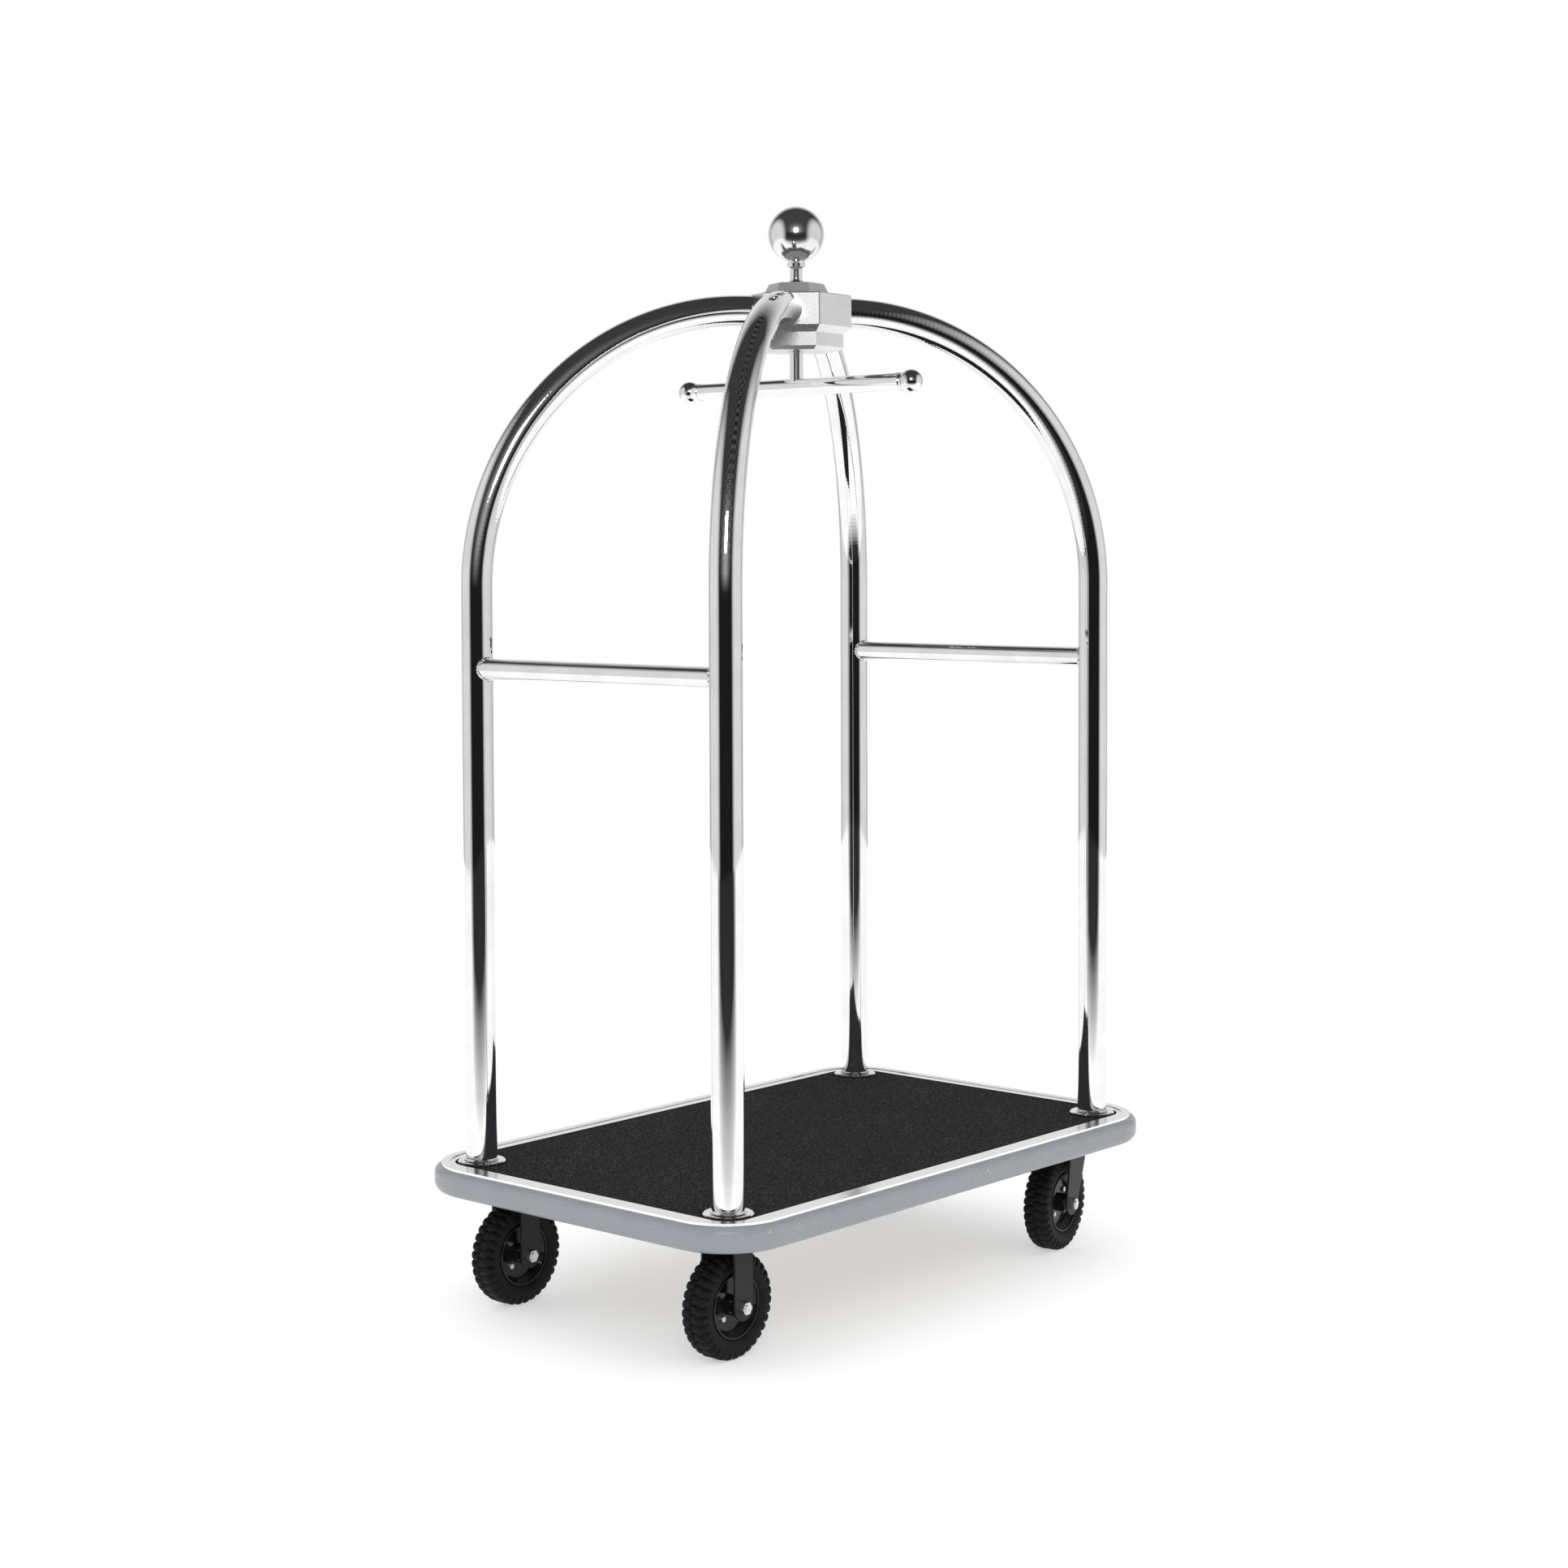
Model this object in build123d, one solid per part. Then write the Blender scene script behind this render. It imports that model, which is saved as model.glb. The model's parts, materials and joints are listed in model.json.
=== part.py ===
from build123d import *
import math
import os

# Hotel luggage cart: a carpeted deck on two fixed and two swivel casters, carrying four tubes that
# bend over diagonally into a hub with a ball finial and a hanging bar for garments.
# Millimetres. +X is the long way of the deck towards the swivel casters, +Z is up, and the origin is
# on the floor under the middle of the deck.

# ---- driving dimensions ----
deck_length = 1106.0           # over the metal edge trim
deck_width = 694.0
deck_corner_radius = 100.0     # of the edge trim's outer edge
board_thickness = 18.0
carpet_thickness = 5.0
trim_band = 32.5               # width of the trim seen from above
trim_rim = 14.0                # raised outer part of that band
trim_rim_height = 1.5
trim_groove = 1.5
trim_skirt_inset = 2.0         # the skirt stands this far inside the rim
trim_skirt_thickness = 2.0
bumper_height = 42.5
bumper_bulge = 13.0            # how far the bumper stands out from the trim's skirt
bumper_top_rounding = 12.0
bumper_low_rounding = 18.0
bumper_top_gap = 2.5           # the bumper's top below the carpet
member_height = 14.0           # flat tubes of the underframe
member_border = 5.0            # of a cross member beyond the caster plates
member_wall = 2.0
member_inset = 47.0            # from the trim's outer edge to the end of a cross member
rail_width = 50.0

tube_diameter = 50.8
tube_wall = 1.5
post_inset = 75.8              # from the trim's outer edge to a post's axis
arch_height = 1625.0           # tube axis where it enters the hub
arch_straight = 10.5           # level run between the end of the bend and the hub's face
tube_end_gap = 8.5             # between the ends of two neighbouring tubes in the hub
flange_border = 13.6           # of the cover flange round the tube
flange_thickness = 2.5         # above the carpet
flange_collar_wall = 3.0
flange_collar_height = 6.0     # above the carpet
flange_chamfer = 1.5
flange_clearance = 0.05
spigot_height = 60.0
spigot_base_border = 10.6
spigot_base_thickness = 4.0
spigot_bore_radius = 13.0
carpet_hole_clearance = 0.3    # round a flange
set_screw_diameter = 6.0
set_screw_height = 22.0        # above the carpet
spigot_screw_diameter = 5.0
spigot_screw_border = 4.6      # from the tube's outside to the screws' circle
spigot_screw_length = 12.0
deck_screw_diameter = 5.0
deck_screw_depth = 12.0        # into the board
deck_screw_head_diameter = 10.0
deck_screw_head_height = 3.0
deck_screw_spacing = 200.0
deck_screw_count = 4           # along each rail

crossbar_diameter = 34.0
crossbar_wall = 1.5
crossbar_rise = 803.0          # above the carpet

hub_turn = 5.0                 # the hub's flats against the deck's axes
hub_wall = 1.1                 # over and under the tubes
socket_depth = 20.5            # of the tubes in the hub
crown_base_radius = 56.0
crown_top_radius = 46.0
crown_height = 20.0
lower_step = 14.0              # the lower block's corners inside the hub's
lower_height = 22.0
lower_chamfer = 11.5
cap_step = 9.0                 # the cap's lower corners inside the lower block's
cap_height = 6.0
hub_edge_chamfer = 1.5
hub_cavity_room = 13.0         # round the hanger's rod
hub_screw_diameter = 8.0
hub_screw_inset = 11.5         # from the hub's face to each tube's fixing screw
stud_diameter = 12.0
stud_nut_flats = 19.0
stud_nut_height = 9.0

finial_ball_diameter = 93.6
finial_neck_height = 37.0
finial_flare_diameter = 28.0
finial_waist_diameter = 20.0
finial_collar_diameter = 30.0
finial_collar_chamfer = 2.0
finial_stud_depth = 30.0       # of the tie stud into the ball

bar_drop = 125.0               # from the tubes' axis in the hub to the bar's
bar_diameter = 28.0
bar_wall = 1.5
bar_half_length = 217.0
end_ball_diameter = 38.0
end_ball_reach = 27.5          # from the bar's end to the ball's centre
end_neck_step = 1.0            # the neck's two steps are this much over and under the bar's radius
end_spigot_length = 18.0
rod_diameter = 22.0
bush_wall = 2.0
bush_flange_width = 1.0
bush_flange_height = 2.0
rod_collar_wall = 5.5
rod_collar_height = 8.0
rod_clearance = 0.05

wheel_radius = 83.4
wheel_top_room = 11.2          # between a tyre and the fork's crown
caster_inset = 114.0           # from the trim's outer edge to a swivel axis or fixed axle
tyre_width = 46.0
tyre_shoulder = 13.0
rim_radius = 50.5
rim_width = 40.0
rim_lip = 3.0
rim_well_depth = 8.0
rim_wall = 2.5
rim_web = 4.0
rim_web_offset = 5.0
hub_boss_wall = 6.0
hub_boss_length = 46.0
wheel_bush_wall = 4.0
axle_diameter = 12.0
axle_clearance = 0.05
wheel_side_clearance = 0.4
axle_head_flats = 18.0
axle_head_height = 7.5

plate_length = 100.0
plate_width = 85.0
plate_thickness = 5.0
plate_bolt_inset = 10.0        # from the plate's edges
plate_bolt_diameter = 8.0
plate_bolt_flats = 13.0
plate_bolt_head_height = 5.3
weld_nut_height = 6.5
bracket_width = 70.0
bracket_wall = 3.5
leg_width = 40.5
fork_crown_length = 64.0
fork_crown_thickness = 4.0
fork_trail = 28.0
caster_turn = 9.0              # the swivel casters stand turned by this much
race_radius = 36.0
race_ring_height = 4.0
race_gap = 3.0                 # between the plate's and the fork's ring faces
race_ball_diameter = 6.0
race_ball_circle = 27.0        # radius of the circle of ball centres
race_ball_clearance = 0.05
race_ball_count = 16
king_pin_diameter = 14.0
king_pin_head_radius = 12.0
king_pin_head_height = 5.0
king_pin_clearance = 0.05
bolt_end = 1.5                 # every bolt ends this far past its nut

# ---- places that follow from them ----
# heights, from the floor up
fork_crown_top = 2 * wheel_radius + wheel_top_room + fork_crown_thickness
plate_bottom = fork_crown_top + 2 * race_ring_height + race_gap
frame_bottom = plate_bottom + plate_thickness
board_bottom = frame_bottom + member_height
board_top = board_bottom + board_thickness
deck_height = board_top + carpet_thickness
crossbar_height = deck_height + crossbar_rise
race_height = plate_bottom - race_ring_height - race_gap / 2

# the deck's plan
half_length = deck_length / 2
half_width = deck_width / 2
skirt_inside = trim_skirt_inset + trim_skirt_thickness
post_x = half_length - post_inset
post_y = half_width - post_inset
wheel_x = half_length - caster_inset
wheel_y = half_width - caster_inset
plate_bolt_x = plate_length - 2 * plate_bolt_inset
plate_bolt_y = plate_width - 2 * plate_bolt_inset
member_width = plate_length + 2 * member_border

# tubes and hub
tube_radius = tube_diameter / 2
tube_bore = tube_radius - tube_wall
flange_radius = tube_radius + flange_border
spigot_base_radius = tube_radius + spigot_base_border
spigot_screw_circle = tube_radius + spigot_screw_border
diagonal = math.hypot(post_x, post_y)
diagonal_angle = math.atan2(post_y, post_x)
half_between_tubes = min(diagonal_angle, math.pi / 2 - diagonal_angle)
tube_inner_reach = (tube_radius + tube_end_gap / 2) / math.sin(half_between_tubes)
hub_face = tube_inner_reach + socket_depth
hub_radius = hub_face / math.cos(math.pi / 6)
hub_bottom = arch_height - tube_radius - hub_wall
hub_top = arch_height + tube_radius + hub_wall
hub_screw_reach = hub_face - hub_screw_inset
bend_radius = diagonal - hub_face - arch_straight
post_straight_top = arch_height - bend_radius
crown_top = hub_top + crown_height
neck_top = crown_top + finial_neck_height
finial_seat_radius = finial_collar_diameter / 2 - finial_collar_chamfer
ball_height = neck_top + math.sqrt((finial_ball_diameter / 2) ** 2 - finial_seat_radius**2)
lower_radius = hub_radius - lower_step
lower_bottom = hub_bottom - lower_chamfer - lower_height
cap_bottom = lower_bottom - cap_height

# hanging bar
bar_height = arch_height - bar_drop
bar_radius = bar_diameter / 2
rod_radius = rod_diameter / 2
bush_radius = rod_radius + bush_wall
bush_top = lower_bottom + lower_height / 2
rod_collar_top = bush_top + rod_collar_height
end_ball_centre = bar_half_length + end_ball_reach

# casters
leg_inside = bracket_width / 2 - bracket_wall
axle_radius = axle_diameter / 2
wheel_bush_radius = axle_radius + wheel_bush_wall
wheel_bush_length = 2 * (leg_inside - wheel_side_clearance)
hub_boss_radius = wheel_bush_radius + hub_boss_wall
king_pin_radius = king_pin_diameter / 2
corners = {"rear_left": (-1, 1), "rear_right": (-1, -1), "front_left": (1, 1), "front_right": (1, -1)}
rear = ("rear_left", "rear_right")
front = ("front_left", "front_right")


# ---- shapes used more than once ----
def rod(radius, bottom, top, x=0.0, y=0.0):
    """An upright cylinder between two heights."""
    return Pos(x, y, bottom) * extrude(Circle(radius), top - bottom)


def pipe(radius, bore, bottom, top, x=0.0, y=0.0):
    """An upright tube between two heights."""
    return Pos(x, y, bottom) * extrude(Circle(radius) - Circle(bore), top - bottom)


def deck_slab(inset, bottom, top, corner_radius=None):
    """A slab with the deck's outline, moved inwards by inset."""
    if corner_radius is None:
        corner_radius = deck_corner_radius - inset
    outline = RectangleRounded(deck_length - 2 * inset, deck_width - 2 * inset, corner_radius)
    return Pos(0, 0, bottom) * extrude(outline, top - bottom)


def deck_ring(outer_inset, inner_inset, bottom, top):
    """A ring that follows the deck's outline between two insets."""
    return deck_slab(outer_inset, bottom, top) - deck_slab(inner_inset, bottom, top)


def hexagon_prism(radius, bottom, top, turn=0.0):
    """An upright hexagonal prism with a corner on +X before it is turned."""
    outline = Rot(0, 0, turn) * RegularPolygon(radius, 6)
    return Pos(0, 0, bottom) * extrude(outline, top - bottom)


def hexagon_taper(low_radius, high_radius, bottom, top):
    """A hexagonal frustum with the hub's turn."""
    low = Pos(0, 0, bottom) * Rot(0, 0, hub_turn) * RegularPolygon(low_radius, 6)
    high = Pos(0, 0, top) * Rot(0, 0, hub_turn) * RegularPolygon(high_radius, 6)
    return loft([low, high])


def nut_radius(flats):
    """Corner radius of a hexagon from its width across flats."""
    return flats / math.sqrt(3)


def at_corner(name, shape):
    """Moves a shape from the axis of a post at the origin to the named corner."""
    sx, sy = corners[name]
    return Pos(sx * post_x, sy * post_y, 0) * shape


def along_diagonal(name, shape):
    """Turns a shape drawn in the XZ plane so that +X points at the named corner."""
    sx, sy = corners[name]
    return Rot(0, 0, math.degrees(math.atan2(sy * post_y, sx * post_x))) * shape


def write(name, shape):
    """Writes one node."""
    shape.label = name
    export_step(shape, f"parts/{name}.step")


# ---- deck ----
def plate_bolt_places():
    """The sixteen places where the casters bolt up through the underframe."""
    places = []
    for sx, sy in corners.values():
        for dx in (-plate_bolt_x / 2, plate_bolt_x / 2):
            for dy in (-plate_bolt_y / 2, plate_bolt_y / 2):
                places.append((sx * wheel_x + dx, sy * wheel_y + dy))
    return places


def deck_screw_places():
    """A row of screws along the middle of each rail."""
    start = -deck_screw_spacing * (deck_screw_count - 1) / 2
    return [
        (start + deck_screw_spacing * step, sy * wheel_y)
        for sy in (-1, 1)
        for step in range(deck_screw_count)
    ]


def spigot_screw_places(name):
    """Three screws round the foot of a post."""
    sx, sy = corners[name]
    places = []
    for step in range(3):
        angle = math.radians(120 * step + 90 - 90 * sy)
        dx = spigot_screw_circle * math.cos(angle)
        dy = spigot_screw_circle * math.sin(angle)
        places.append((sx * post_x + dx, sy * post_y + dy))
    return places


def make_deck_board():
    board = deck_slab(skirt_inside, board_bottom, board_top)
    for x, y in deck_screw_places():
        board -= rod(deck_screw_diameter / 2, board_bottom, board_bottom + deck_screw_depth, x, y)
    for name in corners:
        recess = rod(spigot_base_radius, board_top - spigot_base_thickness, board_top)
        board -= at_corner(name, recess)
        for x, y in spigot_screw_places(name):
            board -= rod(spigot_screw_diameter / 2, board_top - spigot_screw_length, board_top, x, y)
    return board


def carpet_slab():
    """The carpet's outline, with corners round the axes of the posts."""
    return deck_slab(trim_band, board_top, deck_height, post_inset - trim_band)


def make_carpet():
    carpet = carpet_slab()
    for name in corners:
        hole = rod(flange_radius + carpet_hole_clearance, board_top, deck_height)
        carpet -= at_corner(name, hole)
    return carpet


def make_edge_trim():
    """A channel round the deck: a top band with a raised, grooved rim and a skirt behind the bumper."""
    trim = deck_slab(0, board_top, deck_height) - carpet_slab()
    trim += deck_ring(0, trim_rim, deck_height, deck_height + trim_rim_height)
    trim += deck_ring(trim_skirt_inset, skirt_inside, frame_bottom, board_top)
    trim -= deck_ring(trim_rim, trim_rim + trim_groove, deck_height - trim_groove, deck_height)
    return trim


def make_bumper():
    top = deck_height - bumper_top_gap
    outer = deck_slab(trim_skirt_inset - bumper_bulge, top - bumper_height, top)
    outer = fillet(outer.edges().group_by(Axis.Z)[-1], bumper_top_rounding)
    outer = fillet(outer.edges().group_by(Axis.Z)[0], bumper_low_rounding)
    bumper = outer - deck_slab(trim_skirt_inset, top - bumper_height, top)
    return bumper - deck_slab(0, board_top, top)


def make_cross_member(sx):
    """A flat tube across the deck under the board, drilled for the casters."""
    outline = Rectangle(member_width, member_height) - Rectangle(
        member_width - 2 * member_wall, member_height - 2 * member_wall
    )
    member = Rot(90, 0, 0) * extrude(outline, half_width - member_inset, both=True)
    member = Pos(sx * wheel_x, 0, board_bottom - member_height / 2) * member
    for x, y in plate_bolt_places():
        member -= rod(plate_bolt_diameter / 2, frame_bottom, frame_bottom + member_wall, x, y)
    return member


def make_rail(sy):
    """A flat tube along the deck, welded between the cross members."""
    outline = Rectangle(rail_width, member_height) - Rectangle(
        rail_width - 2 * member_wall, member_height - 2 * member_wall
    )
    length = 2 * wheel_x - member_width
    rail = Rot(0, 90, 0) * Rot(0, 0, 90) * extrude(outline, length / 2, both=True)
    rail = Pos(0, sy * wheel_y, board_bottom - member_height / 2) * rail
    for x, y in deck_screw_places():
        rail -= rod(deck_screw_diameter / 2, frame_bottom, board_bottom, x, y)
    return rail


# ---- posts and arches ----
def set_screw(name, length):
    """A grub screw through the post's wall on the side that faces the middle of the deck."""
    start = Pos(-tube_radius, 0, deck_height + set_screw_height) * Rot(0, 90, 0)
    screw = start * extrude(Circle(set_screw_diameter / 2), length)
    return Pos(*post_centre(name)) * along_diagonal(name, screw)


def post_centre(name):
    sx, sy = corners[name]
    return sx * post_x, sy * post_y, 0


def arch_path():
    """The tube's axis in the XZ plane: up the post, round the bend and level into the hub."""
    foot = (diagonal, 0, board_top)
    knee = (diagonal, 0, post_straight_top)
    shoulder = (diagonal - bend_radius, 0, arch_height)
    middle_angle = math.radians(45)
    middle = (
        diagonal - bend_radius + bend_radius * math.cos(middle_angle),
        0,
        post_straight_top + bend_radius * math.sin(middle_angle),
    )
    return [
        Line(foot, knee),
        ThreePointArc(knee, middle, shoulder),
        Line(shoulder, (tube_inner_reach, 0, arch_height)),
    ]


def bent_along_arch(name, outline):
    """An outline swept from the deck to the hub along the named corner's tube."""
    section = Plane(origin=(diagonal, 0, board_top), z_dir=(0, 0, 1)) * outline
    return along_diagonal(name, sweep(section, path=Wire(arch_path())))


def make_corner_tube(name):
    """One bent tube from the deck to the hub."""
    tube = bent_along_arch(name, Circle(tube_radius) - Circle(tube_bore))
    tube -= set_screw(name, 2 * tube_wall)
    return tube - hub_screw(name)


def make_post_flange(name):
    """A turned cover ring on the board, with a thin edge and a collar round the tube."""
    bore = tube_radius + flange_clearance
    collar = tube_radius + flange_collar_wall
    edge_top = deck_height + flange_thickness
    collar_top = deck_height + flange_collar_height
    profile = Polyline(
        (bore, board_top),
        (flange_radius, board_top),
        (flange_radius, edge_top - flange_chamfer),
        (flange_radius - flange_chamfer, edge_top),
        (collar + flange_chamfer, edge_top),
        (collar, edge_top + flange_chamfer),
        (collar, collar_top),
        (bore, collar_top),
        close=True,
    )
    return at_corner(name, revolve(Plane.XZ * make_face(profile), Axis.Z))


def make_spigot(name):
    """A turned foot: a flange let into the board and a plug that fills the end of the tube."""
    plug = rod(tube_bore, board_top, board_top + spigot_height)
    plug += rod(spigot_base_radius, board_top - spigot_base_thickness, board_top)
    plug -= rod(spigot_bore_radius, board_top - spigot_base_thickness, board_top + spigot_height)
    plug = at_corner(name, plug)
    for x, y in spigot_screw_places(name):
        plug -= rod(spigot_screw_diameter / 2, board_top - spigot_base_thickness, board_top, x, y)
    return plug - set_screw(name, tube_wall + set_screw_diameter)


def make_crossbar(sx):
    """A straight tube between the two posts of one end, notched to fit against them."""
    outline = Circle(crossbar_diameter / 2) - Circle(crossbar_diameter / 2 - crossbar_wall)
    bar = Rot(90, 0, 0) * extrude(outline, post_y, both=True)
    bar = Pos(sx * post_x, 0, crossbar_height) * bar
    for name, side in corners.items():
        if side[0] == sx:
            bar -= bent_along_arch(name, Circle(tube_radius))
    return bar


# ---- hub and finial ----
def hub_screw(name):
    """A screw down through the hub into the end of one tube."""
    screw = rod(hub_screw_diameter / 2, arch_height, hub_top, hub_screw_reach)
    return along_diagonal(name, screw)


def hub_sockets():
    sockets = []
    for name in corners:
        socket = Rot(0, 90, 0) * extrude(Circle(tube_radius), hub_radius)
        sockets.append(along_diagonal(name, Pos(tube_inner_reach, 0, arch_height) * socket))
    return sockets


def make_hub_block():
    """The hexagonal block with a stepped crown, bored for the four tubes and the tie stud."""
    block = hexagon_prism(hub_radius, hub_bottom, hub_top, hub_turn)
    block = chamfer(block.edges().filter_by(Axis.Z), hub_edge_chamfer)
    block = chamfer(block.edges().group_by(Axis.Z)[-1], hub_edge_chamfer)
    crown = hexagon_taper(crown_base_radius, crown_top_radius, hub_top, crown_top)
    block += chamfer(crown.edges().group_by(Axis.Z)[-1], hub_edge_chamfer)
    for socket in hub_sockets():
        block -= socket
    for name in corners:
        block -= hub_screw(name)
    return block - rod(stud_diameter / 2, hub_bottom, crown_top)


def make_hub_lower():
    """The block under the hub, hollow for the stud's nut and the hanger's collar."""
    chamfer_bottom = hub_bottom - lower_chamfer
    block = hexagon_prism(lower_radius, lower_bottom, chamfer_bottom, hub_turn)
    block += hexagon_taper(lower_radius, hub_radius, chamfer_bottom, hub_bottom)
    block -= rod(rod_radius + hub_cavity_room, bush_top, hub_bottom)
    return block - rod(bush_radius, lower_bottom, bush_top)


def make_hub_cap():
    cap = hexagon_taper(lower_radius - cap_step, lower_radius, cap_bottom, lower_bottom)
    return cap - rod(bush_radius, cap_bottom, lower_bottom)


def make_hub_stud():
    """The tie stud from the finial down to its nut under the hub block."""
    nut_bottom = hub_bottom - stud_nut_height
    return rod(stud_diameter / 2, nut_bottom - bolt_end, neck_top + finial_stud_depth)


def make_stud_nut():
    nut = hexagon_prism(nut_radius(stud_nut_flats), hub_bottom - stud_nut_height, hub_bottom)
    return nut - rod(stud_diameter / 2, hub_bottom - stud_nut_height, hub_bottom)


def make_finial_neck():
    """A turned spool between the crown and the ball."""
    flare = finial_flare_diameter / 2
    waist = finial_waist_diameter / 2
    collar = finial_collar_diameter / 2
    height = finial_neck_height
    with BuildSketch(Plane.XZ) as profile:
        with BuildLine():
            bottom_flare = ThreePointArc(
                (flare, 0), (waist + 1.2, height * 0.12), (waist, height * 0.26)
            )
            waist_side = Line(bottom_flare @ 1, (waist, height * 0.58))
            top_flare = ThreePointArc(
                waist_side @ 1, (waist + 1.0, height * 0.68), (collar, height * 0.76)
            )
            collar_side = Line(top_flare @ 1, (collar, height * 0.92))
            collar_top = Line(collar_side @ 1, (finial_seat_radius, height))
            top = Line(collar_top @ 1, (stud_diameter / 2, height))
            bore = Line(top @ 1, (stud_diameter / 2, 0))
            Line(bore @ 1, bottom_flare @ 0)
        make_face()
    return Pos(0, 0, crown_top) * revolve(profile.sketch, Axis.Z)


def make_finial_ball():
    """A ball with a small flat that sits on its neck, drilled for the tie stud."""
    ball = Pos(0, 0, ball_height) * Sphere(finial_ball_diameter / 2)
    ball -= rod(finial_ball_diameter / 2, neck_top - finial_ball_diameter, neck_top)
    return ball - rod(stud_diameter / 2, neck_top, neck_top + finial_stud_depth)


# ---- hanging bar ----
def make_hanger_bush():
    """The flanged bush in which the hanger's rod turns."""
    bore = rod_radius + rod_clearance
    bush = pipe(bush_radius, bore, cap_bottom, bush_top)
    return bush + pipe(bush_radius + bush_flange_width, bore, cap_bottom - bush_flange_height, cap_bottom)


def make_hanger_rod():
    """The upright rod, notched over the bar."""
    bar = Rot(90, 0, 0) * extrude(Circle(bar_radius), rod_diameter, both=True)
    return rod(rod_radius, bar_height, rod_collar_top) - Pos(0, 0, bar_height) * bar


def make_rod_collar():
    """The collar that holds the rod up on its bush."""
    return pipe(rod_radius + rod_collar_wall, rod_radius, bush_top + rod_clearance, rod_collar_top)


def make_hanger_bar():
    outline = Circle(bar_radius) - Circle(bar_radius - bar_wall)
    return Pos(0, 0, bar_height) * Rot(90, 0, 0) * extrude(outline, bar_half_length, both=True)


def make_end_ball(sy):
    """A ball with a stepped neck and a spigot that fills the end of the bar."""
    ball_radius = end_ball_diameter / 2
    neck_end = end_ball_centre - ball_radius / 2
    neck_middle = (bar_half_length + neck_end) / 2
    shape = Pos(0, 0, end_ball_centre) * Sphere(ball_radius)
    shape += rod(bar_radius + end_neck_step, bar_half_length, neck_middle)
    shape += rod(bar_radius - end_neck_step, neck_middle, neck_end)
    shape += rod(bar_radius - bar_wall, bar_half_length - end_spigot_length, bar_half_length)
    return Pos(0, 0, bar_height) * Rot(-90 * sy, 0, 0) * shape


# ---- casters ----
# Each caster is drawn with its swivel axis or axle over the origin and its axle along Y.
def plate_place(name):
    """Moves a shape from the origin to the named caster's axis."""
    sx, sy = corners[name]
    return Pos(sx * wheel_x, sy * wheel_y, 0)


def caster_place(name):
    """The same, with the turn that a swivel caster stands at."""
    return plate_place(name) * Rot(0, 0, caster_turn if name in front else 0.0)


def axle_bore(x=0.0):
    """The hole for an axle at the wheel's height."""
    bore = Rot(90, 0, 0) * extrude(Circle(axle_radius), bracket_width, both=True)
    return Pos(x, 0, wheel_radius) * bore


def plate_outline():
    return RectangleRounded(plate_length, plate_width, 8)


def drill_plate(plate):
    for dx in (-plate_bolt_x / 2, plate_bolt_x / 2):
        for dy in (-plate_bolt_y / 2, plate_bolt_y / 2):
            plate -= rod(plate_bolt_diameter / 2, plate_bottom, frame_bottom, dx, dy)
    return plate


def leg_pair(outline):
    """Two legs from an outline in the XZ plane, bored for the axle."""
    legs = []
    for side in (-1, 1):
        middle = side * (bracket_width / 2 - bracket_wall / 2)
        legs.append(Pos(0, middle, 0) * extrude(outline, bracket_wall / 2, both=True))
    return legs


def make_bracket(name):
    """A fixed caster's pressed bracket: a drilled plate with two straight legs."""
    bracket = drill_plate(Pos(0, 0, plate_bottom) * extrude(plate_outline(), plate_thickness))
    leg_length = plate_bottom - wheel_radius
    outline = Plane.XZ * Pos(0, wheel_radius + leg_length / 2) * Rectangle(leg_width, leg_length)
    outline += Plane.XZ * Pos(0, wheel_radius) * Circle(leg_width / 2)
    for leg in leg_pair(outline):
        bracket += leg
    return caster_place(name) * (bracket - axle_bore())


def make_swivel_plate(name):
    """A swivel caster's top plate with the upper ring of its ball race."""
    plate = drill_plate(Pos(0, 0, plate_bottom) * extrude(plate_outline(), plate_thickness))
    plate += rod(race_radius, plate_bottom - race_ring_height, plate_bottom)
    plate -= rod(king_pin_radius, plate_bottom - race_ring_height, frame_bottom)
    return plate_place(name) * (plate - race_groove())


def race_groove():
    """The ring of space that the balls run in."""
    section = Circle(race_ball_diameter / 2 + race_ball_clearance)
    return revolve(Plane.XZ * Pos(race_ball_circle, race_height) * section, Axis.Z)


def make_race_balls(name):
    balls = []
    for step in range(race_ball_count):
        turn = Rot(0, 0, 360 * step / race_ball_count)
        balls.append(turn * Pos(race_ball_circle, 0, race_height) * Sphere(race_ball_diameter / 2))
    return plate_place(name) * Compound(children=balls)


def make_fork(name):
    """A swivel caster's fork: the lower race ring, a crown plate and two raked legs."""
    crown_bottom = fork_crown_top - fork_crown_thickness
    ring_top = fork_crown_top + race_ring_height
    crown = Box(fork_crown_length, bracket_width, fork_crown_thickness)
    crown = Pos(0, 0, fork_crown_top - fork_crown_thickness / 2) * crown
    crown += rod(race_radius, fork_crown_top, ring_top)
    half_crown = fork_crown_length / 2
    end = Pos(-fork_trail, wheel_radius) * Circle(leg_width / 2)
    top_edge = Line((-half_crown, crown_bottom), (half_crown, crown_bottom))
    outline = Plane.XZ * make_hull([*end.edges(), top_edge])
    for leg in leg_pair(outline):
        crown += leg
    crown -= axle_bore(-fork_trail)
    crown -= rod(king_pin_radius + king_pin_clearance, crown_bottom, ring_top)
    return caster_place(name) * (crown - race_groove())


def make_king_pin(name):
    """The rivet that holds the fork up to its plate."""
    head_top = fork_crown_top - fork_crown_thickness - king_pin_clearance
    pin = rod(king_pin_radius, head_top, frame_bottom)
    pin += rod(king_pin_head_radius, head_top - king_pin_head_height, head_top)
    return plate_place(name) * pin


def wheel_place(name):
    """The middle of the wheel, with its axle along Z of the drawn shape."""
    trail = fork_trail if name in front else 0.0
    return caster_place(name) * Pos(-trail, 0, wheel_radius) * Rot(90, 0, 0)


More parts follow.
